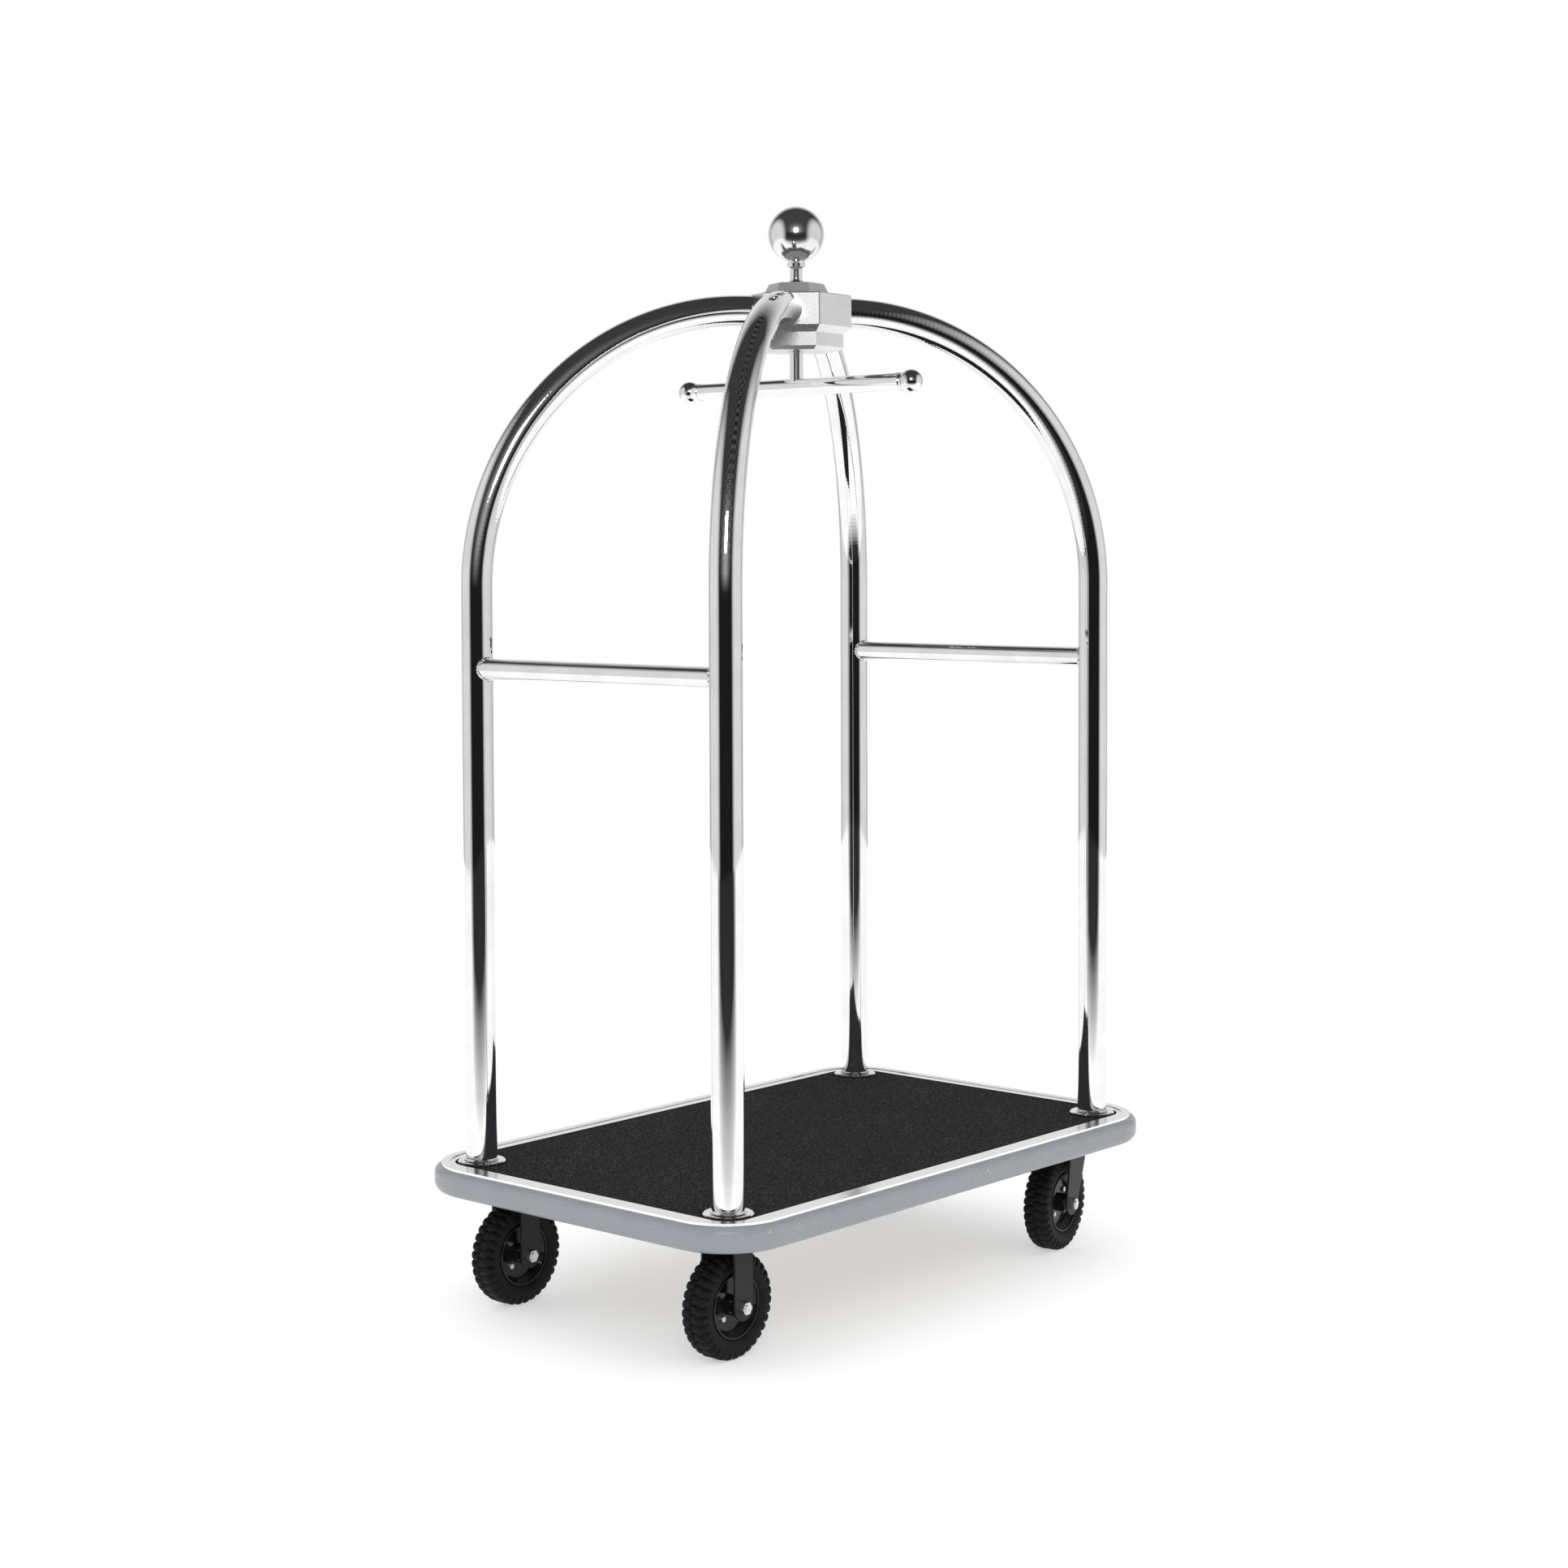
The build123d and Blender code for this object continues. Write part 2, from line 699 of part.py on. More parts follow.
def make_axle(name):
    """An axle bolt with its head and nut outside the legs."""
    half = bracket_width / 2
    bolt = rod(axle_radius, -half, half + axle_head_height + bolt_end)
    bolt += hexagon_prism(nut_radius(axle_head_flats), -half - axle_head_height, -half)
    nut = hexagon_prism(nut_radius(axle_head_flats), half, half + axle_head_height)
    nut -= rod(axle_radius, half, half + axle_head_height)
    return wheel_place(name) * Compound(children=[bolt, nut])


def make_wheel_bush(name):
    half = wheel_bush_length / 2
    return wheel_place(name) * pipe(wheel_bush_radius, axle_radius + axle_clearance, -half, half)


def rim_outline(lip_radius):
    """The rim's outer surface as points of radius and half width, from the lip to the well."""
    half = rim_width / 2
    well = lip_radius - rim_well_depth
    return [(lip_radius, half), (lip_radius, half - rim_lip), (well, half - rim_lip - rim_well_depth)]


def make_rim(name):
    """A dished wheel centre: two lips, a well, a web and a boss."""
    upper = rim_outline(rim_radius)
    inner = [(radius - rim_wall, height) for radius, height in upper]
    lower = [(radius, -height) for radius, height in reversed(upper)]
    inner_lower = [(radius, -height) for radius, height in reversed(inner)]
    barrel = [*upper, *lower, *reversed(inner_lower), *reversed(inner)]
    section = Plane.XZ * make_face(Polyline(*barrel, close=True))
    rim = revolve(section, Axis.Z)
    well_bore = rim_radius - rim_well_depth - rim_wall / 2
    web_bottom = rim_web_offset - rim_web / 2
    rim += pipe(well_bore, wheel_bush_radius, web_bottom, web_bottom + rim_web)
    rim += pipe(hub_boss_radius, wheel_bush_radius, -hub_boss_length / 2, hub_boss_length / 2)
    return wheel_place(name) * rim


def make_tyre(name):
    """A solid tyre that fills the rim's well, with rounded shoulders."""
    half = tyre_width / 2
    bead = rim_outline(rim_radius)
    with BuildSketch(Plane.XZ) as profile:
        with BuildLine():
            tread = Line((wheel_radius, -half + tyre_shoulder), (wheel_radius, half - tyre_shoulder))
            shoulder = RadiusArc(tread @ 1, (wheel_radius - tyre_shoulder, half), -tyre_shoulder)
            wall = Line(shoulder @ 1, (rim_radius + rim_lip, half - rim_lip / 2))
            seat = Polyline(wall @ 1, *bead, *[(r, -h) for r, h in reversed(bead)])
            low_wall = Polyline(
                seat @ 1, (rim_radius + rim_lip, -half + rim_lip / 2), (wheel_radius - tyre_shoulder, -half)
            )
            RadiusArc(low_wall @ 1, tread @ 0, -tyre_shoulder)
        make_face()
    return wheel_place(name) * revolve(profile.sketch, Axis.Z)


def make_caster_bolts():
    """Bolts up through the caster plates into nuts welded inside the cross members."""
    solids = []
    for x, y in plate_bolt_places():
        head_bottom = plate_bottom - plate_bolt_head_height
        nut_bottom = frame_bottom + member_wall
        nut_top = nut_bottom + weld_nut_height
        bolt = rod(plate_bolt_diameter / 2, plate_bottom, nut_top + bolt_end)
        bolt += hexagon_prism(nut_radius(plate_bolt_flats), head_bottom, plate_bottom)
        nut = hexagon_prism(nut_radius(plate_bolt_flats), nut_bottom, nut_top)
        nut -= rod(plate_bolt_diameter / 2, nut_bottom, nut_top)
        solids += [Pos(x, y, 0) * bolt, Pos(x, y, 0) * nut]
    return Compound(children=solids)


def make_deck_screws():
    """Pan-headed screws up through the rails into the board."""
    screws = []
    for x, y in deck_screw_places():
        screw = rod(deck_screw_diameter / 2, frame_bottom, board_bottom + deck_screw_depth, x, y)
        head_bottom = frame_bottom - deck_screw_head_height
        screw += rod(deck_screw_head_diameter / 2, head_bottom, frame_bottom, x, y)
        screws.append(screw)
    return Compound(children=screws)


def make_spigot_screws():
    screws = []
    for name in corners:
        for x, y in spigot_screw_places(name):
            tip = board_top - spigot_screw_length
            screws.append(rod(spigot_screw_diameter / 2, tip, board_top, x, y))
    return Compound(children=screws)


def make_set_screws():
    return Compound(children=[set_screw(name, tube_wall + set_screw_diameter) for name in corners])


def make_hub_screws():
    """The four screws that hold the tubes in the hub, ending inside the tubes."""
    screws = []
    for name in corners:
        tip = arch_height + tube_bore - bolt_end
        screws.append(along_diagonal(name, rod(hub_screw_diameter / 2, tip, hub_top, hub_screw_reach)))
    return Compound(children=screws)


os.makedirs("parts", exist_ok=True)

write("deck_board", make_deck_board())
write("carpet", make_carpet())
write("edge_trim", make_edge_trim())
write("bumper", make_bumper())
for end, sign in (("rear", -1), ("front", 1)):
    write(f"{end}_cross_member", make_cross_member(sign))
    write(f"{end}_crossbar", make_crossbar(sign))
for side, sign in (("right", -1), ("left", 1)):
    write(f"{side}_rail", make_rail(sign))
    write(f"{side}_hanger_ball", make_end_ball(sign))

for corner in corners:
    write(f"{corner}_tube", make_corner_tube(corner))
write("post_flanges", Compound(children=[make_post_flange(corner) for corner in corners]))
write("post_spigots", Compound(children=[make_spigot(corner) for corner in corners]))
write("spigot_screws", make_spigot_screws())
write("post_set_screws", make_set_screws())

write("hub_block", make_hub_block())
write("hub_lower", make_hub_lower())
write("hub_cap", make_hub_cap())
write("hub_screws", make_hub_screws())
write("hub_stud", make_hub_stud())
write("stud_nut", make_stud_nut())
write("finial_neck", make_finial_neck())
write("finial_ball", make_finial_ball())

write("hanger_bush", make_hanger_bush())
write("hanger_rod", make_hanger_rod())
write("rod_collar", make_rod_collar())
write("hanger_bar", make_hanger_bar())

write("caster_bolts", make_caster_bolts())
write("deck_screws", make_deck_screws())
for corner in rear:
    write(f"{corner}_bracket", make_bracket(corner))
for corner in front:
    write(f"{corner}_swivel_plate", make_swivel_plate(corner))
    write(f"{corner}_race_balls", make_race_balls(corner))
    write(f"{corner}_king_pin", make_king_pin(corner))
    write(f"{corner}_fork", make_fork(corner))
for corner in corners:
    write(f"{corner}_axle", make_axle(corner))
    write(f"{corner}_rim", make_rim(corner))
    write(f"{corner}_tyre", make_tyre(corner))
    write(f"{corner}_wheel_bush", make_wheel_bush(corner))
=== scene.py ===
import json
import math

import bmesh
import bpy
from mathutils import Matrix, Vector, noise


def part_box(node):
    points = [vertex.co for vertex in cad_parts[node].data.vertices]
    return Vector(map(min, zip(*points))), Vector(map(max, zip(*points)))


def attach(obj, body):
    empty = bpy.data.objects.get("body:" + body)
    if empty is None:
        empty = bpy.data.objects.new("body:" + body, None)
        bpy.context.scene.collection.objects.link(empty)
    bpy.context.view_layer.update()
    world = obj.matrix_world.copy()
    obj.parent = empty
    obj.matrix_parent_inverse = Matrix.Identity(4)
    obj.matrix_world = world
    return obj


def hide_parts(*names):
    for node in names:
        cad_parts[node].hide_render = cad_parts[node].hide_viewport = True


# Hotel luggage cart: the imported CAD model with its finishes, a pile carpet, lugged tyres, smooth bent
# tubes, weld beads and the small parts of the wheels. Metres.
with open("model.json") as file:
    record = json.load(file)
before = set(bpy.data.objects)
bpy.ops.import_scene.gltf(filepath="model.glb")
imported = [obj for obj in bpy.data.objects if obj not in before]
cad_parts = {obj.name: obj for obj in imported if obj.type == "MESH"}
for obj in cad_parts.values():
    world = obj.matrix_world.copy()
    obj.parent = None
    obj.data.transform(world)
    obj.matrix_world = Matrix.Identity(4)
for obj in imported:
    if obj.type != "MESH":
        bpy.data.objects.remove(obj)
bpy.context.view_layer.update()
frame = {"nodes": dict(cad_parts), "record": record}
nodes = frame["nodes"]
scene = bpy.context.scene

CORNERS = {"rear_left": (-1, 1), "rear_right": (-1, -1), "front_left": (1, 1), "front_right": (1, -1)}

# ---- sizes: the constants are the CAD part's own, the rest is read from the frame's boxes ----
TUBE_R = 0.0254
FLANGE_R = 0.039
BAR_R = 0.017
CROWN_HEIGHT = 0.020  # of the hub
deck_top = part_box("carpet")[1].z
tube_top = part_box("rear_left_tube")[1].z
flange_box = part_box("post_flanges")
carpet_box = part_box("carpet")
board_top = carpet_box[0].z
post_x = flange_box[1].x - FLANGE_R
post_y = flange_box[1].y - FLANGE_R
arch_z = tube_top - TUBE_R
bar_z = (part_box("rear_crossbar")[0].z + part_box("rear_crossbar")[1].z) / 2
crown_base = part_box("hub_block")[1].z - CROWN_HEIGHT


# ---- material tools ----
def new_material(name):
    m = bpy.data.materials.new(name)
    m.use_nodes = True
    tree = m.node_tree
    shader = tree.nodes["Principled BSDF"]
    coord = tree.nodes.new("ShaderNodeTexCoord")
    return m, tree, shader, coord.outputs["Object"]


def stretched(tree, coord, scale):
    node = tree.nodes.new("ShaderNodeMapping")
    node.inputs["Scale"].default_value = scale
    tree.links.new(coord, node.inputs["Vector"])
    return node.outputs["Vector"]


def noise_field(tree, coord, scale, detail=3.0, roughness=0.5):
    node = tree.nodes.new("ShaderNodeTexNoise")
    node.inputs["Scale"].default_value = scale
    node.inputs["Detail"].default_value = detail
    node.inputs["Roughness"].default_value = roughness
    tree.links.new(coord, node.inputs["Vector"])
    return node.outputs["Fac"]


def cells(tree, coord, scale, feature="F1"):
    node = tree.nodes.new("ShaderNodeTexVoronoi")
    node.feature = feature
    node.inputs["Scale"].default_value = scale
    tree.links.new(coord, node.inputs["Vector"])
    return node.outputs["Distance"]


def spread(tree, value, low, high, to_low, to_high):
    node = tree.nodes.new("ShaderNodeMapRange")
    node.inputs["From Min"].default_value = low
    node.inputs["From Max"].default_value = high
    node.inputs["To Min"].default_value = to_low
    node.inputs["To Max"].default_value = to_high
    tree.links.new(value, node.inputs["Value"])
    return node.outputs["Result"]


def maths(tree, kind, a, b):
    node = tree.nodes.new("ShaderNodeMath")
    node.operation = kind
    for socket, value in zip(node.inputs, (a, b)):
        if isinstance(value, (int, float)):
            socket.default_value = value
        else:
            tree.links.new(value, socket)
    return node.outputs[0]


def tones(tree, factor, dark, light):
    node = tree.nodes.new("ShaderNodeMix")
    node.data_type = "RGBA"
    tree.links.new(factor, node.inputs["Factor"])
    node.inputs["A"].default_value = (*dark, 1)
    node.inputs["B"].default_value = (*light, 1)
    return node.outputs["Result"]


def painted_over(tree, factor, under, colour):
    """A colour laid over another one where the factor is high."""
    node = tree.nodes.new("ShaderNodeMix")
    node.data_type = "RGBA"
    tree.links.new(factor, node.inputs["Factor"])
    tree.links.new(under, node.inputs["A"])
    node.inputs["B"].default_value = (*colour, 1)
    return node.outputs["Result"]


def relief(tree, shader, height, distance, strength=1.0, under=None):
    node = tree.nodes.new("ShaderNodeBump")
    node.inputs["Distance"].default_value = distance
    node.inputs["Strength"].default_value = strength
    tree.links.new(height, node.inputs["Height"])
    if under is not None:
        tree.links.new(under, node.inputs["Normal"])
    tree.links.new(node.outputs["Normal"], shader.inputs["Normal"])
    return node.outputs["Normal"]


def polished_metal(name, dark, light, smooth, dull, wave, streaks=(1, 1, 1)):
    """Bright metal with faint hand marks, fine polishing lines and a slight waviness."""
    m, tree, shader, coord = new_material(name)
    shader.inputs["Metallic"].default_value = 1.0
    smudge = noise_field(tree, coord, 14.0, 5.0, 0.6)
    shade = tones(tree, spread(tree, smudge, 0.35, 0.7, 0.0, 1.0), light, dark)
    tree.links.new(shade, shader.inputs["Base Color"])
    lines = noise_field(tree, stretched(tree, coord, streaks), 900.0, 2.0)
    dulling = maths(tree, "MULTIPLY", smudge, lines)
    tree.links.new(spread(tree, dulling, 0.15, 0.45, smooth, dull), shader.inputs["Roughness"])
    fine = relief(tree, shader, lines, 0.000004)
    relief(tree, shader, noise_field(tree, coord, 22.0, 1.0), wave, 1.0, fine)
    return m


RIPPLES_PER_METRE = 130.0
BANDS_PER_UNIT = 3.1831  # of the wave texture at scale 1


def bent_chrome():
    """Chrome over the fine ripples that bending leaves across a tube; U is the length along it in metres."""
    m = polished_metal("bent_chrome", (0.78, 0.78, 0.79), (0.87, 0.87, 0.88), 0.015, 0.06, 0.00006)
    tree = m.node_tree
    shader = tree.nodes["Principled BSDF"]
    under = shader.inputs["Normal"].links[0].from_socket
    uv = tree.nodes.new("ShaderNodeTexCoord").outputs["UV"]
    ripple = tree.nodes.new("ShaderNodeTexWave")
    ripple.bands_direction = "X"
    ripple.wave_profile = "SIN"
    ripple.inputs["Scale"].default_value = 1.0
    ripple.inputs["Distortion"].default_value = 0.0
    along = stretched(tree, uv, (RIPPLES_PER_METRE / BANDS_PER_UNIT, 0.0, 0.0))
    tree.links.new(along, ripple.inputs["Vector"])
    split = tree.nodes.new("ShaderNodeSeparateXYZ")
    tree.links.new(uv, split.inputs[0])
    rise = spread(tree, split.outputs["X"], 0.0, 0.12, 0.0, 1.0)
    relief(tree, shader, maths(tree, "MULTIPLY", ripple.outputs["Fac"], rise), 0.000016, 1.0, under)
    return m


def chrome():
    return polished_metal("chrome", (0.78, 0.78, 0.79), (0.87, 0.87, 0.88), 0.015, 0.07, 0.00006)


def hub_metal():
    """Polished sides under a duller crown."""
    m = polished_metal("hub_metal", (0.72, 0.72, 0.725), (0.80, 0.80, 0.805), 0.26, 0.33, 0.00006)
    tree = m.node_tree
    shader = tree.nodes["Principled BSDF"]
    polish = shader.inputs["Roughness"].links[0].from_socket
    split = tree.nodes.new("ShaderNodeSeparateXYZ")
    tree.links.new(tree.nodes.new("ShaderNodeTexCoord").outputs["Object"], split.inputs[0])
    crown = spread(tree, split.outputs["Z"], crown_base - 0.0002, crown_base + 0.001, 0.0, 0.36)
    tree.links.new(maths(tree, "ADD", polish, crown), shader.inputs["Roughness"])
    return m


def finial_metal():
    return polished_metal("finial_metal", (0.74, 0.74, 0.75), (0.86, 0.86, 0.87), 0.10, 0.22, 0.00003)


def trim_metal():
    m, tree, shader, coord = new_material("trim")
    shader.inputs["Metallic"].default_value = 1.0
    patches = noise_field(tree, coord, 9.0, 4.0, 0.55)
    shade = tones(tree, patches, (0.93, 0.93, 0.93), (0.85, 0.85, 0.86))
    tree.links.new(shade, shader.inputs["Base Color"])
    scratches = noise_field(tree, stretched(tree, coord, (1.0, 8.0, 1.0)), 350.0, 3.0)
    tree.links.new(spread(tree, scratches, 0.3, 0.7, 0.10, 0.24), shader.inputs["Roughness"])
    relief(tree, shader, scratches, 0.00001)
    return m


def zinc():
    m, tree, shader, coord = new_material("zinc")
    shader.inputs["Metallic"].default_value = 1.0
    grain = noise_field(tree, coord, 260.0, 3.0)
    tree.links.new(tones(tree, grain, (0.55, 0.55, 0.57), (0.78, 0.78, 0.79)), shader.inputs["Base Color"])
    tree.links.new(spread(tree, grain, 0.3, 0.7, 0.2, 0.38), shader.inputs["Roughness"])
    relief(tree, shader, grain, 0.00004)
    return m


def bronze():
    m, tree, shader, coord = new_material("bronze")
    shader.inputs["Metallic"].default_value = 1.0
    pores = cells(tree, coord, 1400.0)
    tree.links.new(tones(tree, pores, (0.10, 0.075, 0.05), (0.24, 0.18, 0.12)), shader.inputs["Base Color"])
    tree.links.new(spread(tree, pores, 0.0, 0.7, 0.55, 0.35), shader.inputs["Roughness"])
    relief(tree, shader, pores, 0.00005)
    return m


def powder_coat(name, dark, light, smooth, dull, gloss):
    """Black paint with a fine orange peel and rubbed patches."""
    m, tree, shader, coord = new_material(name)
    shader.inputs["Specular IOR Level"].default_value = gloss
    dust = noise_field(tree, coord, 26.0, 5.0, 0.6)
    tree.links.new(tones(tree, spread(tree, dust, 0.4, 0.72, 0, 1), dark, light), shader.inputs["Base Color"])
    tree.links.new(spread(tree, dust, 0.3, 0.7, smooth, dull), shader.inputs["Roughness"])
    relief(tree, shader, noise_field(tree, coord, 700.0, 2.0), 0.00005)
    return m


def frame_paint():
    return powder_coat("frame_paint", (0.018, 0.018, 0.019), (0.035, 0.034, 0.033), 0.38, 0.6, 0.3)


def caster_paint():
    return powder_coat("caster_black", (0.010, 0.010, 0.0108), (0.020, 0.020, 0.0212), 0.28, 0.45, 0.22)


def wheel_paint():
    return powder_coat("wheel_black", (0.006, 0.006, 0.007), (0.010, 0.010, 0.010), 0.05, 0.16, 0.32)


def rubber():
    m, tree, shader, coord = new_material("tyre")
    dust = noise_field(tree, coord, 60.0, 5.0, 0.65)
    shade = tones(tree, spread(tree, dust, 0.42, 0.75, 0, 1), (0.003, 0.003, 0.0034), (0.011, 0.0107, 0.0104))
    shader.inputs["Specular IOR Level"].default_value = 0.17
    tree.links.new(shade, shader.inputs["Base Color"])
    tree.links.new(spread(tree, dust, 0.3, 0.7, 0.48, 0.7), shader.inputs["Roughness"])
    fine = relief(tree, shader, noise_field(tree, coord, 1500.0, 2.0), 0.00006)
    relief(tree, shader, noise_field(tree, coord, 160.0, 3.0), 0.00015, 1.0, fine)
    return m


def vinyl():
    """The bumper: blue-grey, satin, with rubbed streaks along it and pale scuffs."""
    m, tree, shader, coord = new_material("bumper")
    mottle = noise_field(tree, coord, 18.0, 5.0, 0.6)
    base = tones(tree, mottle, (0.215, 0.230, 0.250), (0.262, 0.278, 0.298))
    along = noise_field(tree, stretched(tree, coord, (1.0, 1.0, 9.0)), 34.0, 6.0, 0.7)
    scuff = spread(tree, along, 0.62, 0.74, 0.0, 0.4)
    rubbed = painted_over(tree, scuff, base, (0.42, 0.43, 0.44))
    knocks = spread(tree, noise_field(tree, coord, 7.0, 2.0), 0.53, 0.60, 0.0, 1.0)
    flecks = spread(tree, noise_field(tree, coord, 170.0, 4.0, 0.7), 0.63, 0.68, 0.0, 1.0)
    chipped = painted_over(tree, maths(tree, "MULTIPLY", knocks, flecks), rubbed, (0.56, 0.57, 0.58))
    tree.links.new(chipped, shader.inputs["Base Color"])
    shader.inputs["Specular IOR Level"].default_value = 0.6
    tree.links.new(spread(tree, along, 0.35, 0.75, 0.24, 0.48), shader.inputs["Roughness"])
    fine = relief(tree, shader, noise_field(tree, coord, 1100.0, 2.0), 0.00004)
    relief(tree, shader, along, 0.00005, 1.0, fine)
    return m


def pile():
    """Charcoal loop pile with single paler fibres."""
    m, tree, shader, coord = new_material("carpet")
    loops = cells(tree, coord, 520.0)
    fibres = noise_field(tree, coord, 240.0, 4.0, 0.8)
    wear = noise_field(tree, coord, 5.0, 3.0)
    worn = spread(tree, wear, 0.2, 0.8, 0.6, 1.0)
    speck = maths(tree, "MULTIPLY", spread(tree, fibres, 0.50, 0.66, 0.0, 1.0), worn)
    shade = tones(tree, speck, (0.006, 0.006, 0.0075), (0.078, 0.079, 0.088))
    tree.links.new(shade, shader.inputs["Base Color"])
    shader.inputs["Roughness"].default_value = 0.95
    shader.inputs["Specular IOR Level"].default_value = 0.05
    shader.inputs["Sheen Weight"].default_value = 0.02
    shader.inputs["Sheen Roughness"].default_value = 0.5
    height = maths(tree, "ADD", maths(tree, "MULTIPLY", loops, -0.7), maths(tree, "MULTIPLY", fibres, 0.5))
    relief(tree, shader, height, 0.0012, 0.9)
    return m


def plywood():
    m, tree, shader, coord = new_material("plywood")
    grain = noise_field(tree, stretched(tree, coord, (2.0, 40.0, 40.0)), 6.0, 6.0, 0.6)
    plies = tree.nodes.new("ShaderNodeTexWave")
    plies.bands_direction = "Z"
    plies.inputs["Scale"].default_value = 130.0
    plies.inputs["Distortion"].default_value = 0.6
    tree.links.new(coord, plies.inputs["Vector"])
    both = maths(tree, "MULTIPLY", maths(tree, "ADD", grain, plies.outputs["Fac"]), 0.5)
    tree.links.new(tones(tree, both, (0.16, 0.13, 0.10), (0.36, 0.30, 0.24)), shader.inputs["Base Color"])
    tree.links.new(spread(tree, grain, 0.3, 0.7, 0.55, 0.75), shader.inputs["Roughness"])
    relief(tree, shader, grain, 0.0002)
    return m


FINISH = {
    "chrome": chrome(),
    "bent_chrome": bent_chrome(),
    "hub_metal": hub_metal(),
    "finial_metal": finial_metal(),
    "trim": trim_metal(),
    "carpet": pile(),
    "bumper": vinyl(),
    "plywood": plywood(),
    "frame_paint": frame_paint(),
    "caster_black": caster_paint(),
    "wheel_black": wheel_paint(),
    "tyre": rubber(),
    "zinc": zinc(),
    "bronze": bronze(),
}
for part in frame["record"]["subparts"]:
    mesh = nodes[part["node"]].data
    mesh.materials.clear()
    mesh.materials.append(FINISH[part["material_slot"]])


# ---- mesh tools ----
def piece(name, verts, faces, slot, body, smooth=True):
    mesh = bpy.data.meshes.new(name)
    mesh.from_pydata([tuple(v) for v in verts], [], faces)
    mesh.validate()
    mesh.polygons.foreach_set("use_smooth", [smooth] * len(mesh.polygons))
    mesh.materials.append(FINISH[slot])
    mesh.update()
    obj = bpy.data.objects.new(name, mesh)
    scene.collection.objects.link(obj)
    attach(obj, body)
    return obj


def grid_faces(rows, columns, wrap_rows=False, wrap_columns=False):
    faces = []
    for i in range(rows if wrap_rows else rows - 1):
        for j in range(columns if wrap_columns else columns - 1):
            a = i * columns + j
            b = i * columns + (j + 1) % columns
            c = ((i + 1) % rows) * columns + (j + 1) % columns
            d = ((i + 1) % rows) * columns + j
            faces.append((a, b, c, d))
    return faces


def swept(points, radii, sides, closed=False, up=Vector((0, 0, 1))):
    """Rings of vertices round a path, with one radius for each of its points."""
    count = len(points)
    verts = []
    for i, point in enumerate(points):
        before = points[i - 1] if i > 0 or closed else points[i]
        after = points[(i + 1) % count] if i + 1 < count or closed else points[i]
        along = (after - before).normalized()
        side = along.cross(up).normalized()
        over = side.cross(along).normalized()
        for j in range(sides):
            angle = 2 * math.pi * j / sides
            verts.append(point + radii[i] * (math.cos(angle) * side + math.sin(angle) * over))
    return verts, grid_faces(count, sides, closed, True)


def lathed(profile, sides, axis=Matrix.Identity(4)):
    """A profile of (radius, height) pairs turned round Z, then placed."""
    verts = []
    for radius, height in profile:
        for j in range(sides):
            angle = 2 * math.pi * j / sides
            verts.append(axis @ Vector((radius * math.cos(angle), radius * math.sin(angle), height)))
    return verts, grid_faces(len(profile), sides, False, True)


def join(parts):
    """Several (vertices, faces) pairs as one."""
    verts, faces = [], []
    for part_verts, part_faces in parts:
        start = len(verts)
        verts += part_verts
        faces += [tuple(start + index for index in face) for face in part_faces]
    return verts, faces


# ---- bent tubes ----
TUBE_END = 0.060  # from the cart's middle
HUB_FACE = 0.0805
LEVEL_RUN = 0.0105  # between the bend and the hub's face
TUBE_SIDES = 96
BEND_STEPS = 72
STRAIGHT_RINGS = (0.45, 0.70, 0.95, 1.10)  # heights of the rings between the board and the bend
diagonal = math.hypot(post_x, post_y)
bend_r = diagonal - HUB_FACE - LEVEL_RUN
straight_top = arch_z - bend_r
for name, (sx, sy) in CORNERS.items():
    outward = Vector((sx * post_x, sy * post_y, 0)).normalized()
    across = Vector((-outward.y, outward.x, 0))
    path = [outward * diagonal + Vector((0, 0, z)) for z in (board_top, *STRAIGHT_RINGS)]
    for step in range(BEND_STEPS + 1):
        angle = math.radians(90 * step / BEND_STEPS)
        out = diagonal - bend_r + bend_r * math.cos(angle)
        path.append(outward * out + Vector((0, 0, straight_top + bend_r * math.sin(angle))))
    path.append(outward * TUBE_END + Vector((0, 0, arch_z)))
    verts, faces = swept(path, [TUBE_R] * len(path), TUBE_SIDES, False, across)
    tube = piece(f"{name}_bent_tube", verts, faces, "chrome", "frame")
    tube.data.materials[0] = FINISH["bent_chrome"]
    lengths = [0.0]
    for before, after in zip(path, path[1:]):
        lengths.append(lengths[-1] + (after - before).length)
    start = straight_top - board_top
    layer = tube.data.uv_layers.new(name="along")
    for loop in tube.data.loops:
        ring, around = divmod(loop.vertex_index, TUBE_SIDES)
        layer.data[loop.index].uv = (lengths[ring] - start, around / TUBE_SIDES)
    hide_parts(f"{name}_tube")


# ---- weld beads where the crossbars meet the posts ----
BEAD_STEPS = 150
BEAD_SIDES = 12
BEAD_R = 0.0019
BEAD_SWELL = 0.0007  # that its ripples and its wandering each add
RIPPLES_ROUND = 24
for sx, end in ((-1, "rear"), (1, "front")):
    beads = []
    for sy in (-1, 1):
        ring, sizes = [], []
        for i in range(BEAD_STEPS):
            angle = 2 * math.pi * i / BEAD_STEPS
            reach = BAR_R + 0.0006
            x = reach * math.cos(angle)
            z = reach * math.sin(angle)
            y = math.sqrt((TUBE_R + 0.0003) ** 2 - x * x)
            ripple = 0.5 + 0.5 * math.cos(RIPPLES_ROUND * angle)
            wander = noise.noise(Vector((sx * 3 + x * 90, sy * 5 + y * 90, z * 90)))
            sizes.append(BEAD_R + BEAD_SWELL * ripple + BEAD_SWELL * wander)
            ring.append(Vector((sx * post_x + x, sy * (post_y - y), bar_z + z)))
        beads.append(swept(ring, sizes, BEAD_SIDES, True, Vector((0, 1, 0))))
    verts, faces = join(beads)
    piece(f"{end}_weld_beads", verts, faces, "chrome", "frame")


